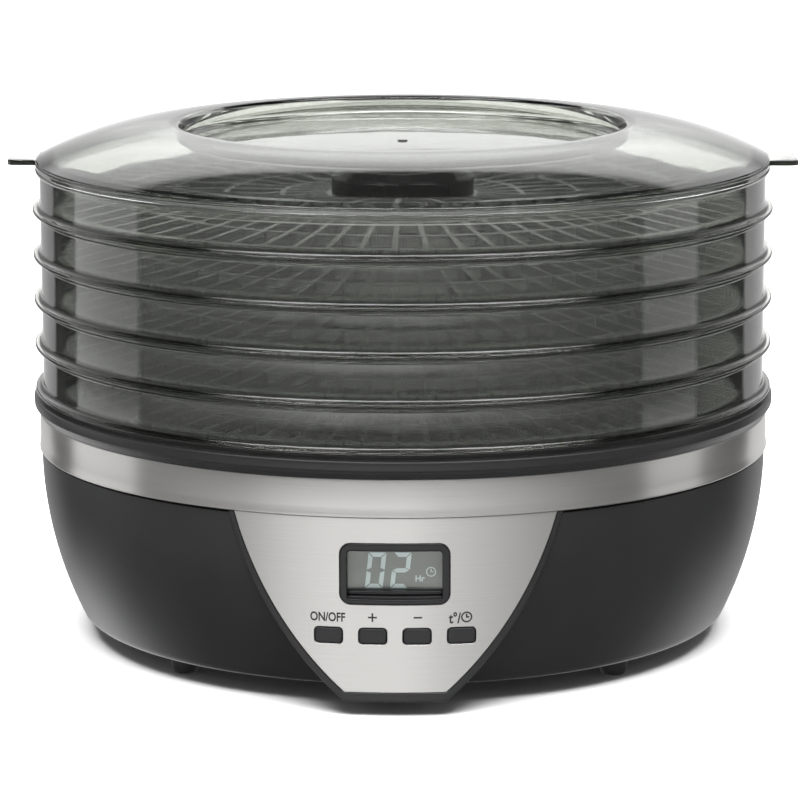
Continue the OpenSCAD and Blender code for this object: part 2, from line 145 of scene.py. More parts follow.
def places_round(r, count):
    """Evenly spaced places on a circle."""
    turns = [math.radians(360 * i / count) for i in range(count)]
    return [(r * math.cos(a), r * math.sin(a)) for a in turns]


def new_object(name, data):
    obj = bpy.data.objects.new(name, data)
    bpy.context.scene.collection.objects.link(obj)
    return obj


def make_piece(name, mesh, body, slot, replaces=(), sharp=32, finish=None):
    """A finished piece that rides on a body and stands for the CAD nodes it replaces.

    Edges steeper than the sharp angle stay sharp, and 0 keeps the mesh's own normals. The finish is
    the slot's, unless another is named."""
    mesh.name = name
    if sharp:
        mesh.shade_smooth()
        mesh.set_sharp_from_angle(angle=math.radians(sharp))
    obj = new_object(name, mesh)
    mesh.materials.clear()
    mesh.materials.append(FINISHES[finish or slot])
    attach(obj, body)
    if replaces:
        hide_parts(*replaces)


def to_mesh(bm):
    mesh = bpy.data.meshes.new("mesh")
    bmesh.ops.recalc_face_normals(bm, faces=bm.faces)
    bm.to_mesh(mesh)
    bm.free()
    return mesh


def add_part(bm, part):
    """Adds a separate bmesh, with its own normals worked out first."""
    mesh = to_mesh(part)
    bm.from_mesh(mesh)
    bpy.data.meshes.remove(mesh)


def add_lathe(bm, profile, steps=TURN_STEPS, centre=(0, 0)):
    """Turns a closed profile of (radius, height) points round an upright axis."""
    rings = []
    for i in range(steps):
        a = 2 * math.pi * i / steps
        c, s = math.cos(a), math.sin(a)
        places = [Vector((centre[0] + r * c, centre[1] + r * s, z)) for r, z in profile]
        rings.append([bm.verts.new(place * MM) for place in places])
    count = len(profile)
    for i in range(steps):
        here, there = rings[i], rings[(i + 1) % steps]
        for j in range(count):
            k = (j + 1) % count
            if profile[j][0] > 0 or profile[k][0] > 0:
                bm.faces.new((here[j], there[j], there[k], here[k]))
    if any(r == 0 for r, _ in profile):
        bmesh.ops.remove_doubles(bm, verts=bm.verts, dist=1e-7)


def lathe(profile):
    bm = bmesh.new()
    add_lathe(bm, profile)
    return to_mesh(bm)


def rod(x, z, r, y0, y1, steps=24):
    """Solid rod along Y with softened ends."""
    soft = 0.3
    profile = [(0, y0), (r - soft, y0), (r, y0 + soft), (r, y1 - soft), (r - soft, y1), (0, y1)]
    bm = bmesh.new()
    add_lathe(bm, profile, steps)
    bm.transform(Matrix.Translation(Vector((x, 0, z)) * MM) @ Matrix.Rotation(-math.pi / 2, 4, "X"))
    return to_mesh(bm)


def rounded_rect(cx, cz, w, h, r, steps=6):
    """Outline of a rounded rectangle in XZ."""
    out = []
    for sx, sz, start in ((1, 1, 0), (-1, 1, 90), (-1, -1, 180), (1, -1, 270)):
        out += arc(cx + sx * (w / 2 - r), cz + sz * (h / 2 - r), r, start, start + 90, steps)
    return out


def shield(grow, z_low, z_top):
    """Outline of the panel: straight top and bottom, sides bowed outward."""
    top, low = Vector((PANEL_TOP + grow, z_top)), Vector((PANEL_BOTTOM, z_low))
    half = (top - low).length / 2
    inward = Vector((low.y - top.y, top.x - low.x)) / (2 * half)
    c = (top + low) / 2 + inward * math.sqrt(PANEL_SIDE_R ** 2 - half ** 2)
    start = math.degrees(math.atan2(top.y - c.y, top.x - c.x))
    end = math.degrees(math.atan2(low.y - c.y, low.x - c.x))
    side = arc(c.x, c.y, PANEL_SIDE_R, start, end, 28)
    return side + [(-x, z) for x, z in reversed(side)]


def inset(loop, distance, hole=False):
    """The outline moved in by a distance, or out if it is a hole."""
    area = sum(a[0] * b[1] - b[0] * a[1] for a, b in zip(loop, loop[1:] + loop[:1]))
    side = math.copysign(distance, area) * (-1 if hole else 1)
    out = []
    for i, p in enumerate(loop):
        before, after = Vector(loop[i - 1]), Vector(loop[(i + 1) % len(loop)])
        e1, e2 = (Vector(p) - before).normalized(), (after - Vector(p)).normalized()
        n1, n2 = Vector((-e1.y, e1.x)), Vector((-e2.y, e2.x))
        miter = (n1 + n2) / (1 + n1.dot(n2))
        out.append((p[0] + miter.x * side, p[1] + miter.y * side))
    return out


def add_plate(bm, loops, front, back, soft, soft_steps=3):
    """Plate between two depths along Y. The first loop is its outline and the others are holes."""
    stages = []
    for i in range(soft_steps + 1):
        a = math.radians(90 * i / soft_steps)
        stages.append((soft * (1 - math.sin(a)), front + soft * (1 - math.cos(a))))
    stages.append((0, back))
    rims = []
    for n, loop in enumerate(loops):
        rings = []
        for distance, y in stages:
            points = inset(loop, distance, n > 0) if distance else loop
            rings.append([bm.verts.new(Vector((x, y, z)) * MM) for x, z in points])
        for a, b in zip(rings, rings[1:]):
            for i in range(len(loop)):
                k = (i + 1) % len(loop)
                bm.faces.new((a[i], a[k], b[k], b[i]))
        rims.append((rings[0], rings[-1]))
    for end in (0, 1):
        verts = [v for rim in rims for v in rim[end]]
        outlines = [[Vector((v.co.x, v.co.z, 0)) for v in rim[end]] for rim in rims]
        for tri in tessellate_polygon(outlines):
            bm.faces.new([verts[i] for i in tri])


def cut_in_strips(bm):
    """Cuts the mesh at regular X planes, so that it can bend round the cylinder."""
    xs = [v.co.x for v in bm.verts]
    step = 2.5 * MM
    for i in range(math.ceil(min(xs) / step), math.floor(max(xs) / step) + 1):
        geometry = bm.verts[:] + bm.edges[:] + bm.faces[:]
        bmesh.ops.bisect_plane(bm, geom=geometry, plane_co=(i * step, 0, 0), plane_no=(1, 0, 0))


def wrapped(bm, radius=None):
    """Mesh of flat panel items, bent so that depth 0 lies on a cylinder of that radius.

    Depth stays along Y, so side walls stay parallel. Normals are worked out from the flat shape,
    and where a softened edge meets a flat face it takes that face's normal."""
    facing, near = 0.9999, 0.7
    if radius:
        cut_in_strips(bm)
    mesh = to_mesh(bm)
    mesh.shade_smooth()
    mesh.set_sharp_from_angle(angle=math.radians(40))
    flat = {}
    for poly in mesh.polygons:
        if abs(poly.normal.y) > facing:
            for v in poly.vertices:
                flat[v] = Vector((0, math.copysign(1, poly.normal.y), 0))
    normals = []
    for poly in mesh.polygons:
        for i in poly.loop_indices:
            v = mesh.loops[i].vertex_index
            n = Vector(mesh.corner_normals[i].vector)
            if v in flat and poly.normal.dot(flat[v]) > near:
                n = flat[v]
            if radius:
                x = mesh.vertices[v].co.x
                slope = x / math.sqrt((radius * MM) ** 2 - x * x)
                n = Vector((n.x - slope * n.y, n.y, n.z)).normalized()
            normals.append(n)
    if radius:
        for v in mesh.vertices:
            v.co.y -= math.sqrt((radius * MM) ** 2 - v.co.x ** 2)
    mesh.normals_split_custom_set(normals)
    return mesh


def evaluated_mesh(obj):
    """Mesh of a plain object with its modifiers applied. The object itself is removed."""
    graph = bpy.context.evaluated_depsgraph_get()
    mesh = bpy.data.meshes.new_from_object(obj.evaluated_get(graph))
    bpy.data.objects.remove(obj)
    return mesh


def boolean(mesh, cutter, operation):
    """Exact boolean of two meshes."""
    tool = new_object("tool", cutter)
    obj = new_object("body", mesh)
    mod = obj.modifiers.new("cut", "BOOLEAN")
    mod.operation, mod.solver, mod.object = operation, "EXACT", tool
    result = evaluated_mesh(obj)
    bpy.data.objects.remove(tool)
    return result


# ---- Materials ----

def new_node(tree, kind, settings=None, **sockets):
    """A shader node with its settings and the values of its unlinked sockets."""
    made = tree.nodes.new("ShaderNode" + kind)
    for key, value in (settings or {}).items():
        setattr(made, key, value)
    for key, value in sockets.items():
        made.inputs[key.replace("_", " ")].default_value = value
    return made


def fill_ramp(ramp, stops):
    """Sets a colour ramp from a list of (position, grey or colour)."""
    elements = ramp.color_ramp.elements
    for i, (place, value) in enumerate(stops):
        element = elements[i] if i < 2 else elements.new(place)
        element.position = place
        rgb = value if isinstance(value, tuple) else (value,) * 3
        element.color = (*rgb, 1)


class Finish:
    """A node material under construction, with one Principled shader."""

    def __init__(self, name, **sockets):
        self.material = bpy.data.materials.new(name)
        self.material.use_nodes = True
        self.tree = self.material.node_tree
        self.tree.nodes.clear()
        self.output = self.node("OutputMaterial")
        self.shader = self.node("BsdfPrincipled", **sockets)
        self.link(self.shader.outputs[0], self.output.inputs["Surface"])

    def node(self, kind, settings=None, **sockets):
        return new_node(self.tree, kind, settings, **sockets)

    def link(self, a, b):
        self.tree.links.new(a, b)

    def position(self, scale=(1, 1, 1)):
        """Object coordinates, scaled along each axis."""
        coordinates = self.node("TexCoord")
        mapping = self.node("Mapping", Scale=scale)
        self.link(coordinates.outputs["Object"], mapping.inputs["Vector"])
        return mapping.outputs[0]

    def noise(self, vector, scale, detail, roughness=0.5):
        made = self.node("TexNoise", Scale=scale, Detail=detail, Roughness=roughness)
        self.link(vector, made.inputs["Vector"])
        return made.outputs["Fac"]

    def ramp(self, factor, stops):
        made = self.node("ValToRGB")
        fill_ramp(made, stops)
        self.link(factor, made.inputs["Fac"])
        return made.outputs["Color"]

    def spread(self, factor, low, high):
        """Maps a 0 to 1 value to a range."""
        made = self.node("MapRange", To_Min=low, To_Max=high)
        self.link(factor, made.inputs["Value"])
        return made.outputs[0]

    def bump(self, height, strength, distance):
        made = self.node("Bump", Strength=strength, Distance=distance)
        self.link(height, made.inputs["Height"])
        self.link(made.outputs[0], self.shader.inputs["Normal"])

    def set(self, socket, value):
        self.link(value, self.shader.inputs[socket])


def clear_plastic(name, tint, depth, haze, cloud=0.0, shade=1.0):
    """Moulded see-through plastic, darker where it is thicker: a wall of that depth passes the tint.

    Lamps shine through it, and its gloss has slight flow marks. A clouded one scatters some light,
    in its own shade."""
    headroom = 0.9  # keeps every channel of the stain's colour above zero
    f = Finish(name, Transmission_Weight=1 - cloud, IOR=1.56)
    place = f.position()
    flow = f.noise(f.position((1, 1, 3)), 30, 2)
    f.set("Base Color", f.ramp(flow, [(0.3, 0.97 * shade), (0.7, shade)]))
    f.set("Roughness", f.spread(f.noise(place, 60, 4), haze * 0.6, haze * 1.5))
    f.bump(f.noise(f.position((1, 1, 2)), 45, 1), 0.12, 0.0004)
    loss = [-math.log(c) / (depth * MM) for c in tint]
    density = max(loss) / headroom
    stain = f.node("VolumeAbsorption", Density=density, Color=(*(1 - k / density for k in loss), 1))
    f.link(stain.outputs[0], f.output.inputs["Volume"])
    through = f.node("BsdfTransparent", Color=(0.94, 0.94, 0.94, 1))
    mix = f.node("MixShader")
    factor, first, second = mix.inputs
    f.link(f.node("LightPath").outputs["Is Shadow Ray"], factor)
    f.link(f.shader.outputs[0], first)
    f.link(through.outputs[0], second)
    f.link(mix.outputs[0], f.output.inputs["Surface"])
    return f.material


def moulded(name, colour, rough, grain=1400, depth=0.00004, coat=0.0, specular=0.5):
    """Moulded plastic: fine spark-eroded grain, a little wear in its gloss."""
    f = Finish(name, Specular_IOR_Level=specular, Coat_Weight=coat, Coat_Roughness=0.12)
    place = f.position()
    wear = f.noise(place, 18, 5, 0.6)
    dark = tuple(c * 0.82 for c in colour)
    f.set("Base Color", f.ramp(wear, [(0.35, dark), (0.65, colour)]))
    f.set("Roughness", f.spread(wear, rough * 0.88, min(1, rough * 1.12)))
    f.bump(f.noise(place, grain, 2), 0.35, depth)
    return f.material


def brushed_steel(name, base, rough):
    """Steel brushed round its circumference: long fine streaks, stretched highlights."""
    f = Finish(name, Metallic=1.0, Anisotropic=0.9, Anisotropic_Rotation=0.25)
    tangent = f.node("Tangent", {"direction_type": "RADIAL", "axis": "Z"})
    f.link(tangent.outputs[0], f.shader.inputs["Tangent"])
    split = f.node("SeparateXYZ")
    f.link(f.position(), split.inputs[0])
    turn = f.node("Math", {"operation": "ARCTAN2"})
    f.link(split.outputs["Y"], turn.inputs[0])
    f.link(split.outputs["X"], turn.inputs[1])
    streak_place = f.node("CombineXYZ")
    f.link(turn.outputs[0], streak_place.inputs["X"])
    f.link(split.outputs["Z"], streak_place.inputs["Z"])
    stretch = f.node("Mapping", Scale=(2.5, 1, 5500))
    f.link(streak_place.outputs[0], stretch.inputs["Vector"])
    streaks = f.noise(stretch.outputs[0], 1, 4, 0.7)
    dark = tuple(c * 0.86 for c in base)
    f.set("Base Color", f.ramp(streaks, [(0.3, dark), (0.7, base)]))
    f.set("Roughness", f.spread(streaks, rough * 0.75, rough * 1.3))
    f.bump(streaks, 0.12, 0.00003)
    return f.material


def plain_metal(name, base, rough):
    """Bare metal with fine spots drawn out across its height."""
    f = Finish(name, Metallic=1.0)
    spots = f.noise(f.position((1, 1, 4)), 400, 4, 0.65)
    f.set("Base Color", f.ramp(spots, [(0.3, tuple(c * 0.75 for c in base)), (0.7, base)]))
    f.set("Roughness", f.spread(spots, rough * 0.7, rough * 1.4))
    f.bump(spots, 0.2, 0.00003)
    return f.material


def layered(name, base, gap, per_metre, rough):
    """Metal sheets or turns stacked along Z, as fine bands."""
    f = Finish(name, Metallic=1.0)
    wave = f.node("TexWave", {"bands_direction": "Z"}, Scale=per_metre, Distortion=0.3, Detail=1.0)
    f.link(f.position(), wave.inputs["Vector"])
    f.set("Base Color", f.ramp(wave.outputs["Fac"], [(0.15, gap), (0.5, base)]))
    f.set("Roughness", f.spread(wave.outputs["Fac"], rough * 1.3, rough))
    f.bump(wave.outputs["Fac"], 0.4, 0.0001)
    return f.material


FINISHES = {material.name.split(".")[0]: material for material in (
    clear_plastic("clear_lid", (0.74, 0.75, 0.73), 2.0, 0.02),
    clear_plastic("smoked_plastic", (0.55, 0.56, 0.53), 1.8, 0.02),
    clear_plastic("smoked_grid", (0.5, 0.505, 0.485), 1.8, 0.1, cloud=0.4, shade=0.25),
    clear_plastic("smoked_hub", (0.05, 0.053, 0.049), 1.8, 0.06),
    moulded("black_plastic", (0.015, 0.015, 0.0155), 0.34, specular=0.28),
    moulded("black_gloss", (0.012, 0.012, 0.013), 0.16, 900, 0.00001, specular=0.15),
    moulded("button_plastic", (0.018, 0.018, 0.019), 0.33, 1600, 0.00003, specular=0.16),
    brushed_steel("brushed_steel", (0.72, 0.71, 0.69), 0.30),
    moulded("rubber", (0.018, 0.018, 0.018), 0.75, 900, 0.00008),
    moulded("display", (0.115, 0.128, 0.114), 0.22, 300, 0.00001, coat=0.15),
    moulded("segments", (0.36, 0.43, 0.42), 0.3, 300, 0.00001, coat=0.1),
    moulded("print", (0.012, 0.012, 0.012), 0.45, 2500, 0.00001),
    moulded("white_plastic", (0.75, 0.74, 0.70), 0.45),
    moulded("grey_plastic", (0.33, 0.33, 0.32), 0.5),
    moulded("circuit_board", (0.02, 0.14, 0.05), 0.35, 700, 0.00006, coat=0.3),
    moulded("component_plastic", (0.55, 0.42, 0.08), 0.35),
    layered("motor_steel", (0.42, 0.42, 0.43), (0.12, 0.12, 0.13), 320, 0.35),
    layered("copper", (0.72, 0.32, 0.14), (0.25, 0.09, 0.04), 300, 0.3),
    plain_metal("bright_metal", (0.72, 0.72, 0.73), 0.28),
    plain_metal("bronze", (0.60, 0.44, 0.20), 0.4),
    moulded("mica", (0.62, 0.56, 0.42), 0.4, 250, 0.0001, coat=0.2),
    moulded("wire_jacket", (0.30, 0.03, 0.03), 0.45, 500, 0.00004),
)}


def repaint_frame():
    """Gives every CAD node its slot's finish."""
    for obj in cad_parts.values():
        for i, material in enumerate(obj.data.materials):
            key = material.name.split(".")[0]
            obj.material_slots[i].link = "OBJECT"
            obj.material_slots[i].material = FINISHES[key]


# ---- Trays and lid ----

def tray_z(k):
    """Height at which tray k sits on what is below it."""
    return SEAT_Z + (k - 1) * PITCH


def tray_wall(k):
    """Wall with its rolled bead, a fillet above the bead and a shallow rib just below its lip."""
    z0, z1 = tray_z(k), tray_z(k + 1)
    inner, bead, fillet = WALL_R - WALL_T, 0.6, 2.4
    profile = [(inner, z0), (SKIRT_R, z0)]
    profile += [(SKIRT_R, z0 - BEAD_DROP + 0.1), (SKIRT_R + 0.1, z0 - BEAD_DROP)]
    profile += arc(BEAD_R - bead, z0 - BEAD_DROP + bead, bead, -90, 0, 6)
    profile += arc(BEAD_R - bead, z0 + 1 - bead, bead, 0, 90, 6)
    profile += arc(WALL_R + fillet, z0 + 1 + fillet, fillet, 270, 180, 9)
    profile += arc(WALL_R - 0.25, z1 - RIB_DROP, 0.6, -65, 65, 8)
    profile += arc(WALL_R - 0.4, z1 - 0.4, 0.4, 0, 90, 3)
    profile += arc(inner + 0.3, z1 - 0.3, 0.3, 90, 180, 3)
    make_piece(
        f"tray_{k}_wall_moulding", lathe(profile), f"tray_{k}", "smoked_plastic",
        [f"tray_{k}_wall"], 50,
    )


def tray_hub(k):
    """Middle tube with a sloped shoulder below its open top, and four ribs round its foot."""
    z0 = tray_z(k)
    foot, mouth, shoulder = HUB_R, HUB_R - 4.8, 11.2
    inner, lip = foot - 2.4, mouth - 2.1
    rib_w, rib_h = 2.6, 5.2
    profile = [(inner, 0), (foot - 0.2, 0), (foot, 0.2), (foot, shoulder - 0.4)]
    profile += arc(foot - 0.6, shoulder - 0.4, 0.6, 0, 52, 4)
    profile += [(mouth + 0.2, HUB_H - 0.7), (mouth, HUB_H - 0.3), (mouth - 0.4, HUB_H)]
    profile += [(lip + 0.3, HUB_H), (lip, HUB_H - 0.3), (lip, HUB_H - 1), (inner, shoulder - 0.8)]
    bm = bmesh.new()
    add_lathe(bm, [(r, z + z0) for r, z in profile], 96)
    for angle in (45, 135, 225, 315):
        rib = bmesh.new()
        outline = rounded_rect(foot + 0.7, z0 + 6.6, rib_w, rib_h, 0.4, 3)
        add_plate(rib, [outline], -1, 1, 0.25, 2)
        rib.transform(Matrix.Rotation(math.radians(angle), 4, "Z"))
        add_part(bm, rib)
    make_piece(
        f"tray_{k}_hub_moulding", to_mesh(bm), f"tray_{k}", "smoked_grid",
        [f"tray_{k}_hub"], 14, finish="smoked_hub",
    )


def tray_pegs(k):
    """Short pegs under the crossings of the tray floor."""
    bm = bmesh.new()
    z1 = tray_z(k) + PEG_TOP
    z0 = z1 - PEG_H
    profile = [(0, z0), (0.8, z0), (0.95, z0 + 0.2), (1.05, z1), (0, z1)]
    for r, count in FLOOR_RINGS:
        for place in places_round(r, count):
            peg = bmesh.new()
            add_lathe(peg, profile, 8, place)
            add_part(bm, peg)
    make_piece(
        f"tray_{k}_floor_pegs", to_mesh(bm), f"tray_{k}", "smoked_grid", finish="smoked_hub",
    )


def dome_rise(r):
    """Height of the lid's outside over its seat, from the crest down to the eaves."""
    fall = ((r - CREST_R) / (EAVES_R - CREST_R)) ** 2
    return CREST_RISE - (CREST_RISE - EAVES_RISE) * fall


def lid_profile():
    """Section of the lid over its seat: dish, crest, dome, rim, plug and the inside back again."""
    dish = CREST_RISE - DISH_DEPTH
    wall, dish_wall, steps = 2, 3.6, 28
    skirt_z, plug_z = -3.2, -5.8
    dome = [CREST_R + (EAVES_R - CREST_R) * i / steps for i in range(1, steps + 1)]
    profile = [(r, dish) for r in (0, 30, 60, 80)]
    profile += arc(DISH_R, dish + dish_wall, dish_wall, -90, -12, 9)
    profile += [(CREST_R - 2.6, CREST_RISE - 0.9), (CREST_R - 1.9, CREST_RISE - 0.25)]
    profile += [(CREST_R - 1.1, CREST_RISE)]
    profile += [(r, dome_rise(r)) for r in dome]
    profile += arc(LID_RIM_R - 0.9, 0.85, 0.9, 75, -55, 8)
    profile += arc(LID_RIM_R - 0.95, -1.9, 0.95, 60, -60, 8)
    profile += [(LID_RIM_R - 0.6, skirt_z + 0.1), (LID_RIM_R - 0.8, skirt_z)]
    profile += [(SKIRT_R + 0.2, skirt_z), (SKIRT_R, skirt_z + 0.2), (SKIRT_R, 0), (LID_PLUG_R, 0)]
    profile += [(LID_PLUG_R, plug_z + 0.3), (LID_PLUG_R - 0.3, plug_z)]
    profile += [(LID_PLUG_R - 1.5, plug_z), (LID_PLUG_R - 1.8, plug_z + 0.3), (LID_PLUG_R - 1.8, 1.2)]
    profile += [(r - 2.4, dome_rise(r) - wall) for r in reversed(dome[:-2])]
    profile += [(CREST_R + 0.2, CREST_RISE - wall), (CREST_R - 0.5, CREST_RISE - 2.6)]
    profile += [(CREST_R - 0.7, dish + 1.2), (CREST_R - 1.4, dish - 0.8)]
    profile += [(CREST_R - 3.2, dish - 1.9), (DISH_R - 4, dish - wall), (0, dish - wall)]
    return profile


def lid_tab(side):
    """Finger tab, cut off where it meets the lid's skirt."""
    bm = bmesh.new()
    outline = rounded_rect(side * (TAB_REACH - TAB_L / 2), 0, TAB_L, TAB_W, 4, 8)
    add_plate(bm, [outline], 0, TAB_T, 0.35)
    bm.transform(Matrix.Rotation(-math.pi / 2, 4, "X"))
    bm.transform(Matrix.Translation((0, 0, (LID_SEAT + TAB_RISE) * MM)))
    bmesh.ops.bisect_plane(
        bm, geom=bm.verts[:] + bm.edges[:] + bm.faces[:], clear_outer=True,
        plane_co=(side * (SKIRT_R + 0.1) * MM, 0, 0), plane_no=(-side, 0, 0),
    )
    bmesh.ops.holes_fill(bm, edges=bm.edges)
    return to_mesh(bm)


def lid():
    """Domed lid: a dish in its crest, a turned-down rim, two finger tabs and a moulding nub."""
    mesh = lathe([(r, z + LID_SEAT) for r, z in lid_profile()])
    for side in (-1, 1):
        mesh = boolean(mesh, lid_tab(side), "UNION")
    dish_z = LID_SEAT + CREST_RISE - DISH_DEPTH
    nub = [(0, -0.5), (2.2, -0.5), (2.2, 0.35), (1.9, 0.6), (0, 0.6)]
    bm = bmesh.new()
    add_lathe(bm, [(r, z + dish_z) for r, z in nub], 32)
    mesh = boolean(mesh, to_mesh(bm), "UNION")
    make_piece("lid_moulding", mesh, "lid", "clear_lid", ["lid"], 34)


# ---- Base ----

def top_cover():
    """Deck and the black rim that the lowest tray stands on, with its four screw bosses."""
    deck_top, band_inner, seat_inner = DECK_Z + BOWL_T, BAND_R - SHEET_T, WALL_R - 2.3
    wall_inner, wall_outer, wall_z = 152.8, 155.3, 77
    profile = [(GRILLE_R, DECK_Z), (wall_inner, DECK_Z), (wall_inner, wall_z), (wall_outer, wall_z)]
    profile += [(wall_outer, BAND_Z0 + 1), (band_inner, BAND_Z0 + 1), (band_inner, BAND_Z1)]
    profile += [(BAND_R - 0.2, BAND_Z1), (BAND_R, BAND_Z1 + 0.2), (BAND_R + 0.7, BAND_Z1 + 1.6)]
    profile += arc(RIM_R - 1.3, BAND_Z1 + 4.2, 1.3, -70, 0, 6)
    profile += arc(RIM_R - 0.9, SEAT_Z - 3.4, 0.9, 0, 90, 6)
    profile += [(WALL_R + 0.3, SEAT_Z - 2.5), (WALL_R, SEAT_Z - 2.3)]
    profile += arc(WALL_R - 0.4, SEAT_Z - 0.4, 0.4, 0, 90, 3)
    profile += [(seat_inner + 0.3, SEAT_Z), (seat_inner, SEAT_Z - 0.3), (seat_inner, deck_top)]
    profile += [(GRILLE_R, deck_top)]
    bore, outer = 1.6, 5
    boss = [(bore, POST_TOP), (outer - 0.4, POST_TOP), (outer, POST_TOP + 0.4)]
    boss += [(outer, DECK_Z + 1), (bore, DECK_Z + 1)]
    bm = bmesh.new()
    add_lathe(bm, profile)
    for place in places_round(SCREW_CIRCLE_R, 4):
        add_lathe(bm, boss, 32, place)
    make_piece("top_cover_moulding", to_mesh(bm), "base", "black_plastic", ["top_cover"], 35)


def steel_band():
    """Rolled band with a rounded fold along its lower edge."""
    fold = [(0.15, 0), (0.4, 0.1), (0.5, 0.3), (0.48, 0.7), (0.3, 1.6), (0.1, 3), (0, 4.4)]
    profile = [(BAND_R - SHEET_T, BAND_Z0)]
    profile += [(BAND_R + out, BAND_Z0 + up) for out, up in fold]
    profile += [(BAND_R, BAND_Z1 - 0.35), (BAND_R - 0.1, BAND_Z1 - 0.1), (BAND_R - 0.3, BAND_Z1)]
    profile += [(BAND_R - SHEET_T, BAND_Z1)]
    make_piece("steel_band_rolled", lathe(profile), "base", "brushed_steel", ["steel_band"], 60)


def bowl_r(z):
    """Radius of the bowl's outside: one arc with an upright tangent at its top."""
    drop, shrink = BOWL_TOP - FOOT_H, BOWL_TOP_R - BOWL_FOOT_R
    r = (drop ** 2 + shrink ** 2) / (2 * shrink)
    return BOWL_TOP_R - r + math.sqrt(r * r - (BOWL_TOP - z) ** 2)


def bowl():
    """Black bowl, open in front for the panel's housing and at the back for the cord gland."""
    floor_top, foot_r, rim, steps = FOOT_H + BOWL_T, bowl_r(FOOT_H), BOWL_TOP_R - 1.2, 36
    z0, z1 = FOOT_H + 1, BOWL_TOP - 0.6
    heights = [z0 + (z1 - z0) * i / steps for i in range(steps + 1)]
    profile = [(r, FOOT_H) for r in (INLET_R, 100, 130, foot_r - 1.2)]
    profile += [(foot_r - 0.3, FOOT_H + 0.25)]
    profile += [(bowl_r(z), z) for z in heights]
    profile += [(BOWL_TOP_R - 0.2, BOWL_TOP - 0.4), (rim, BOWL_TOP - 0.4), (rim, BOWL_TOP)]
    profile += [(BOWL_TOP_R - BOWL_T, BOWL_TOP)]
    profile += [(bowl_r(z) - BOWL_T, z) for z in reversed(heights[4::2])]
    profile += [(bowl_r(floor_top) - BOWL_T, floor_top), (INLET_R, floor_top)]
    front, back = -165, -128
    opening = bmesh.new()
    add_plate(opening, [shield(PANEL_EDGE, HOUSING_Z0, BOWL_TOP + 0.6)], front, back, 0.001, 1)
    mesh = boolean(lathe(profile), to_mesh(opening), "DIFFERENCE")
    mesh = boolean(mesh, rod(0, GLAND_Z, GLAND_HOLE_R, 130, 165, 48), "DIFFERENCE")
    bore, hollow, outer, neck = 2.1, 4, 6, 8
    post = [(hollow, FOOT_H), (outer, FOOT_H), (outer, POST_TOP)]
    post += [(bore, POST_TOP), (bore, POST_TOP - neck), (hollow, POST_TOP - neck)]
    bm = bmesh.new()
    bm.from_mesh(mesh)
    for place in places_round(SCREW_CIRCLE_R, 4):
        add_lathe(bm, post, 32, place)
    make_piece("bowl_moulding", to_mesh(bm), "base", "black_plastic", ["bowl_housing"], 35)


def feet():
    """Four rubber feet, each with a plug that snaps through the floor."""
    foot_r, floor_top = 6.6, FOOT_H + BOWL_T
    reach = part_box("rubber_feet")[HIGH]
    reach_x, reach_y = reach.x / MM, reach.y / MM
    profile = [(0, 0.4), (3.6, 0.4), (4, 0)] + arc(4.6, 0.6, 0.6, -90, 0, 4)
    profile += [(5.6, 1.6), (5.8, 2.2), (5.8, 4), (6.3, 6.5), (foot_r, FOOT_H), (3, FOOT_H)]
    profile += [(3, floor_top), (4.2, floor_top), (3, floor_top + 1.8), (0, floor_top + 1.8)]
    bm = bmesh.new()
    for side in (-1, 1):
        for end in (-1, 1):
            place = (side * (reach_x - foot_r), end * (reach_y - foot_r))
            add_lathe(bm, profile, 48, place)
    make_piece("feet_rubber", to_mesh(bm), "base", "rubber", ["rubber_feet"], 40)


# ---- Panel ----

def button_outline(x, gap=0.0):
    """Outline of a button, or of the opening that leaves a gap round it."""
    w, h = BUTTON_SIZE
    return rounded_rect(x, BUTTON_Z, w + 2 * gap, h + 2 * gap, 1.5 + gap)


def display_outline(size, r, steps, drop=0.0):
    """Rounded rectangle of a (width, height), centred on the display or below its middle."""
    return rounded_rect(0, DISPLAY_Z - drop, *size, r, steps)


def steel_panel():
    """Steel sheet with the openings for the display and the buttons."""
    w, h = BEZEL_SIZE
    loops = [shield(-0.05, PANEL_Z0 + 0.05, BAND_Z0 - 0.05)]
    loops += [display_outline((w + 0.1, h + 0.1), 4.6, 10)]
    loops += [button_outline(x, 0.3) for x in BUTTON_X.values()]
    bm = bmesh.new()
    add_plate(bm, loops, 0, SHEET_T, 0.25)
    make_piece("steel_panel_sheet", wrapped(bm, BAND_R), "base", "brushed_steel", ["steel_panel"], 0)


def panel_housing():
    """Black pod round the steel panel, open at its top."""
    bm = bmesh.new()
    top = BAND_Z0 - 0.1
    outer, inner = shield(PANEL_EDGE, HOUSING_Z0, top), shield(0, PANEL_Z0, top)
    add_plate(bm, [outer + inner[::-1]], 0, HOUSING_DEPTH, 0.7, 4)
    make_piece(
        "panel_housing_moulding", wrapped(bm, HOUSING_R), "base", "black_plastic",
        ["panel_housing"], 0,
    )


def panel_backing():
    """Black wall behind the steel, seen only through the gaps around the buttons."""
    w, h = PANE_SIZE
    loops = [shield(-0.1, PANEL_Z0 + 0.1, BAND_Z0 - 0.3)]
    loops += [display_outline((w + 0.4, h + 0.2), 3.6, 10)]
    loops += [button_outline(x, 0.25) for x in BUTTON_X.values()]
    bm = bmesh.new()
    add_plate(bm, loops, 0, 2, 0.1, 1)
    mesh = wrapped(bm, BAND_R - SHEET_T - 0.05)
    make_piece("panel_backing_wall", mesh, "base", "black_plastic")


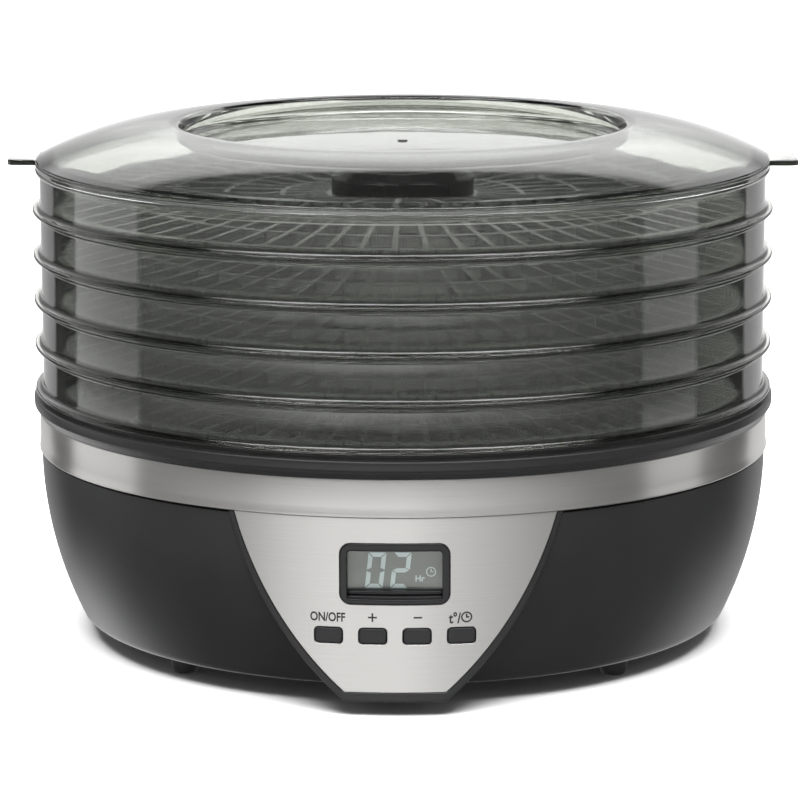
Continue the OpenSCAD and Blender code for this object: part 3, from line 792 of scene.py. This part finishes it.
def display_bezel():
    """Glossy frame with two rounded ledges under the window."""
    bm = bmesh.new()
    loops = [display_outline(BEZEL_SIZE, 4.6, 10), display_outline(WINDOW_SIZE, 1.4, 5, 0.5)]
    add_plate(bm, loops, 0, BEZEL_DEPTH, 0.7, 4)
    ledge_size = (WINDOW_SIZE[0] + 0.4, 1.7)
    for drop, front in ((8.3, 2.4), (10.1, 1.1)):
        ledge = display_outline(ledge_size, 0.8, 4, drop)
        add_plate(bm, [ledge], front, BEZEL_DEPTH, 0.75, 5)
    make_piece(
        "display_bezel_moulding", wrapped(bm, HOUSING_R), "base", "black_gloss",
        ["display_bezel"], 0,
    )


def add_flat(bm, loops, y, thickness):
    """Thin flat mark on an upright plane."""
    add_plate(bm, loops, y, y + thickness, thickness * 0.3, 1)


def stroke(points, width):
    """Outline of a straight bar between two points."""
    a, b = Vector(points[0]), Vector(points[1])
    side = Vector((a.y - b.y, b.x - a.x)).normalized() * width / 2
    return [tuple(a + side), tuple(a - side), tuple(b - side), tuple(b + side)]


def digit(bm, lit, x0, y):
    """Slanted seven-segment digit with mitred gaps, t being the thickness of its bars."""
    w, h, t, gap, lean, z0 = 7.2, 14.7, 1.8, 0.25, 0.11, 51.9
    mid, half = h / 2, t / 2
    side = [(0, h - gap), (t, h - t - gap), (t, mid + half + gap / 2), (0, mid + gap)]
    cap = [(gap, h), (w - gap, h), (w - t - gap, h - t), (t + gap, h - t)]
    bars = {
        "a": cap, "d": [(x, h - z) for x, z in cap], "f": side, "e": [(x, h - z) for x, z in side],
        "b": [(w - x, z) for x, z in side], "c": [(w - x, h - z) for x, z in side],
        "g": [(gap, mid), (t + gap / 2, mid + half), (w - t - gap / 2, mid + half), (w - gap, mid),
              (w - t - gap / 2, mid - half), (t + gap / 2, mid - half)],
    }
    for name in lit:
        outline = [(x0 + x + lean * z, z0 + z) for x, z in bars[name]]
        add_flat(bm, [outline], y, SEGMENT_T)


def add_bar(bm, start, end, width, y, thickness):
    add_flat(bm, [stroke((start, end), width)], y, thickness)


def add_clock(bm, cx, cz, r, width, y, thickness):
    """Clock symbol: a ring and two hands."""
    steps = 28
    last = 360 - 360 / steps
    ring = [arc(cx, cz, r + side * width / 2, 0, last, steps - 1) for side in (1, -1)]
    add_flat(bm, ring, y, thickness)
    add_bar(bm, (cx, cz - width / 2), (cx, cz + r * 0.68), width, y, thickness)
    add_bar(bm, (cx, cz), (cx + r * 0.55, cz), width, y, thickness)


def add_text(bm, body, x, z, height, y, thickness, squeeze=1.0):
    """Generic lettering from the built-in font, centred on x, standing on z."""
    curve = bpy.data.curves.new("letters", "FONT")
    curve.body, curve.align_x, curve.size = body, "CENTER", 1
    curve.extrude, curve.offset = 0.5, 0.026
    mesh = evaluated_mesh(new_object("letters", curve))
    heights = [v.co.y for v in mesh.vertices]
    k = height / (max(heights) - min(heights))
    for v in mesh.vertices:
        px, pz, depth = v.co
        v.co = Vector((x + px * k * squeeze, y + thickness * (0.5 - depth), z + pz * k)) * MM
    bm.from_mesh(mesh)
    bpy.data.meshes.remove(mesh)


def display_glass():
    bm = bmesh.new()
    add_plate(bm, [display_outline(PANE_SIZE, 0.6, 3)], GLASS_Y, GLASS_Y + PANE_T, 0.15, 1)
    make_piece("display_pane", to_mesh(bm), "base", "display", ["display_glass"], 30)


def display_marks():
    """What the display shows: two digits, a unit and a clock."""
    bm = bmesh.new()
    y = GLASS_Y - SEGMENT_T
    digit(bm, "abcdef", -12.2, y)
    digit(bm, "abged", -2.1, y)
    add_text(bm, "Hr", 9.9, 54.8, 2.5, y, SEGMENT_T)
    add_clock(bm, 14.4, 58.7, 1.8, 0.42, y, SEGMENT_T)
    make_piece("display_marks", wrapped(bm), "base", "display", (), 0, finish="segments")


def labels():
    """Printed marks above the buttons."""
    bm = bmesh.new()
    y, line = -LABEL_T, 0.68
    add_text(bm, "ON/OFF", BUTTON_X["power"] - 0.3, LABEL_Z - 1.9, 3.8, y, LABEL_T, 0.77)
    x = BUTTON_X["plus"] - 0.1
    add_bar(bm, (x - 1.8, LABEL_Z), (x + 1.8, LABEL_Z), line, y, LABEL_T)
    add_bar(bm, (x, LABEL_Z - 1.8), (x, LABEL_Z + 1.8), line, y - 0.01, LABEL_T)
    x = BUTTON_X["minus"] + 0.3
    add_bar(bm, (x - 1.7, LABEL_Z), (x + 1.7, LABEL_Z), line, y, LABEL_T)
    x = BUTTON_X["mode"] - 0.4
    add_text(bm, "t°/", x - 2.3, LABEL_Z - 2.5, 4.7, y, LABEL_T, 0.78)
    add_clock(bm, x + 2.4, LABEL_Z - 0.2, 1.95, 0.62, y, LABEL_T)
    make_piece(
        "panel_labels", wrapped(bm, BAND_R), "base", "black_plastic", (), 0, finish="print",
    )


def button(name):
    """Cap with a softened face, and the stem that meets its switch."""
    x, body = BUTTON_X[name], f"button_{name}"
    bm = bmesh.new()
    add_plate(bm, [button_outline(x)], 0, CAP_DEPTH, 0.8, 5)
    stem = rod(x, BUTTON_Z, STEM_R, STEM_Y, edge(body, HIGH, "y"))
    make_piece(f"{body}_stem", stem, body, "button_plastic")
    make_piece(f"{body}_cap", wrapped(bm, BAND_R + 0.2), body, "button_plastic", [body], 0)


# ---- Stage ----

def studio():
    """Studio light in layers: each spans a range of heights and has its own brightness all round."""
    world = bpy.data.worlds.new("studio")
    bpy.context.scene.world = world
    world.use_nodes = True
    tree = world.node_tree
    tree.nodes.clear()
    link = tree.links.new
    strength = 2.0

    def node(kind, settings=None, **sockets):
        return new_node(tree, kind, settings, **sockets)

    split = node("SeparateXYZ")
    link(node("TexCoord").outputs["Generated"], split.inputs[0])
    flip = node("Math", {"operation": "MULTIPLY"})
    flip.inputs[1].default_value = -1
    link(split.outputs["Y"], flip.inputs[0])
    turn = node("Math", {"operation": "ARCTAN2"})
    link(split.outputs["X"], turn.inputs[0])
    link(flip.outputs[0], turn.inputs[1])
    share = node("MapRange", From_Min=-math.pi, From_Max=math.pi)
    link(turn.outputs[0], share.inputs["Value"])

    def round_about(light):
        """Brightness all round, from -180 to 180 degrees, 0 being the panel's side."""
        ramp = node("ValToRGB")
        fill_ramp(ramp, [((angle + 180) / 360, value / strength) for angle, value in light])
        link(share.outputs[0], ramp.inputs[0])
        return ramp.outputs[0]

    def even(value):
        return round_about([(-180, value), (180, value)])

    def blend(start, end, below, above):
        """Fades from one light to another between two heights, given in degrees."""
        z0, z1 = math.sin(math.radians(start)), math.sin(math.radians(end))
        height = node("MapRange", From_Min=z0, From_Max=z1)
        link(split.outputs["Z"], height.inputs["Value"])
        mix = node("Mix", {"data_type": "RGBA"})
        first, second, result = 6, 7, 2  # the node's colour sockets
        link(height.outputs[0], mix.inputs[0])
        link(below, mix.inputs[first])
        link(above, mix.inputs[second])
        return mix.outputs[result]

    # The floor is not reflected, so the upright band and panel mirror the layers a little below
    # 0 degrees, and the bowl's sides mirror deeper ones. The lid's dish and dome mirror those above
    # 0, and the thin highlights along the beads come from the crown.
    deep = round_about([
        (-180, 2.2), (-150, 2.0), (-138, 2.2), (-124, 1.3), (-112, 0.4), (-95, 0.25),
        (-70, 0.15), (70, 0.15), (95, 0.2), (110, 0.3), (122, 0.8), (140, 1.4), (160, 1.6),
        (180, 2.2),
    ])
    low = round_about([
        (-180, 1.2), (-172, 1.2), (-163, 0.8), (-143, 0.8), (-141, 0.1), (-124, 0.1),
        (-122, 0.3), (-90, 0.3), (-88, 0.3), (-49, 1.2), (-35, 2.2), (-22, 2.8), (3, 2.9),
        (12, 2.2), (35, 1.2), (62, 0.4), (80, 0.15), (82, 0.2), (104, 0.2), (107, 0.1),
        (137, 0.1), (139, 0.8), (163, 0.8), (172, 1.2), (180, 1.2),
    ])
    level = round_about([
        (-180, 1.2), (-172, 1.2), (-163, 0.65), (-143, 0.65), (-141, 0.1), (-124, 0.1),
        (-122, 1.3), (-90, 1.3), (-88, 0.2), (-40, 0.25), (40, 0.25), (80, 0.15), (82, 1.1),
        (104, 1.1), (107, 0.1), (137, 0.1), (139, 0.8), (163, 0.8), (172, 1.2), (180, 1.2),
    ])
    middle = round_about([
        (-180, 1.0), (-172, 1.0), (-163, 0.4), (-143, 0.35), (-124, 0.25), (-122, 0.7),
        (-90, 0.7), (-88, 0.3), (-49, 0.2), (49, 0.2), (80, 0.3), (82, 0.6), (107, 0.6),
        (118, 0.15), (137, 0.1), (139, 0.4), (163, 0.4), (172, 1.0), (180, 1.0),
    ])
    upper = round_about([
        (-180, 1.5), (-172, 1.4), (-160, 1.3), (-150, 1.1), (-120, 0.7), (-92, 0.6),
        (-88, 0.4), (-49, 0.25), (49, 0.25), (80, 0.3), (84, 0.4), (120, 0.6), (150, 1.1),
        (160, 1.3), (172, 1.4), (180, 1.5),
    ])
    crown = round_about([
        (-180, 0.1), (-125, 0.1), (-95, 8), (-50, 12), (50, 12), (95, 8), (125, 0.1), (180, 0.1),
    ])
    sky = even(0.15)
    for start, end, light in (
        (-55, -42, deep), (-28, -20, low), (-11.3, -8.7, level), (-2, 4, middle),
        (12, 18, upper), (36, 38.5, even(0.1)), (55, 59, crown), (72, 76, even(0.4)),
    ):
        sky = blend(start, end, sky, light)
    background = node("Background", Strength=strength)
    link(sky, background.inputs["Color"])
    link(background.outputs[0], node("OutputWorld").inputs["Surface"])


def floor():
    """Plain pale floor, large enough to fill the view, and left out of reflections."""
    bm = bmesh.new()
    bmesh.ops.create_grid(bm, x_segments=1, y_segments=1, size=12)
    mesh = bpy.data.meshes.new("floor")
    bm.to_mesh(mesh)
    bm.free()
    f = Finish("floor", Specular_IOR_Level=0.0, Roughness=0.9)
    f.set("Base Color", f.ramp(f.noise(f.position(), 3, 2), [(0.3, 0.86), (0.7, 0.88)]))
    mesh.materials.append(f.material)
    obj = new_object("floor", mesh)
    obj.visible_glossy = False


def lamp(name, place, size, power, target=(0, 0, 0.12)):
    """Round area lamp that lights surfaces but is not itself seen, reflected or refracted."""
    data = bpy.data.lights.new(name, "AREA")
    data.shape, data.size, data.energy = "DISK", size, power
    obj = new_object(name, data)
    obj.location = place
    obj.rotation_euler = (Vector(target) - Vector(place)).to_track_quat("-Z", "Y").to_euler()
    obj.visible_camera = False
    obj.visible_transmission = False
    obj.visible_glossy = False


def camera():
    """Long lens, a little above the object and a little to the right of its middle.

    It was fitted to the ellipses of the beads, rims and band in the photo."""
    data = bpy.data.cameras.new("camera")
    data.sensor_width, data.lens = 36, 164.78
    data.clip_start, data.clip_end = 0.1, 40
    obj = new_object("camera", data)
    down, turn, roll = 0.1961, math.radians(1.3), -0.0022
    level, fall = math.cos(down), math.sin(down)
    look = Vector((-level * math.sin(turn), level * math.cos(turn), -fall))
    facing = look.to_track_quat("-Z", "Y").to_matrix() @ Matrix.Rotation(roll, 3, "Z")
    obj.location = (0.03444, -1.5771, 0.41186)
    obj.rotation_euler = facing.to_euler()
    bpy.context.scene.camera = obj


camera()
studio()
floor()
lamp("overhead", (0, -0.6, 3.2), 4.6, 170)
lamp("backdrop", (0, 3.6, 3.4), 4, 150, (0, 3.6, 0))

repaint_frame()
for k in range(1, TRAYS + 1):
    tray_wall(k)
    tray_hub(k)
    tray_pegs(k)
lid()
top_cover()
steel_band()
bowl()
feet()
steel_panel()
panel_housing()
panel_backing()
display_bezel()
display_glass()
display_marks()
labels()
for name in BUTTON_X:
    button(name)

# Light has to get through five trays and the lid, so it may pass many surfaces.
scene = bpy.context.scene
scene.view_settings.view_transform = "Standard"
scene.cycles.max_bounces = 28
scene.cycles.transmission_bounces = 28
scene.cycles.transparent_max_bounces = 28
scene.cycles.glossy_bounces = 8
